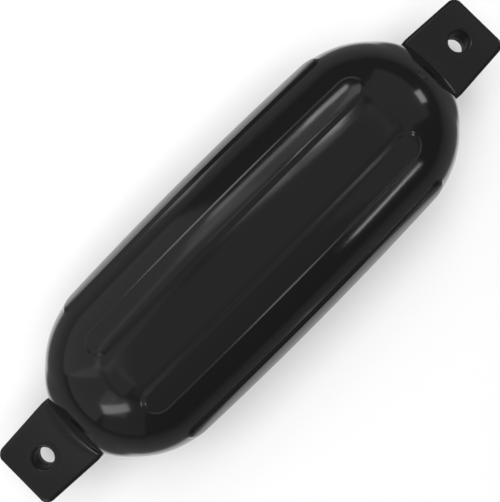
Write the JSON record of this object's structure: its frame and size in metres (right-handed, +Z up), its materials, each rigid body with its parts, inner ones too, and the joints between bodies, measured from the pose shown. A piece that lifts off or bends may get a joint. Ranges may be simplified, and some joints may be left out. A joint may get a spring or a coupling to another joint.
{
  "type": "pneumatic fender",
  "caption": "Inflatable ribbed boat fender: hollow moulded vinyl barrel with domed ends, a flat eye lug at each end for a rope, and a needle valve for air.",
  "frame": {"origin": "on the ground plane, under the middle of the fender as it lies on its side", "axes": "+X along the fender from one eye lug to the one beside the valve, +Y across it in the plane of the lugs, +Z up"},
  "size_m": [0.6934, 0.2104, 0.2104],
  "materials": {
    "fender_vinyl": "gloss",
    "valve_rubber": "satin"
  },
  "bodies": {
    "root": {"fender_shell": "fender_vinyl", "inflation_valve": "valve_rubber"}
  },
  "joints": []
}
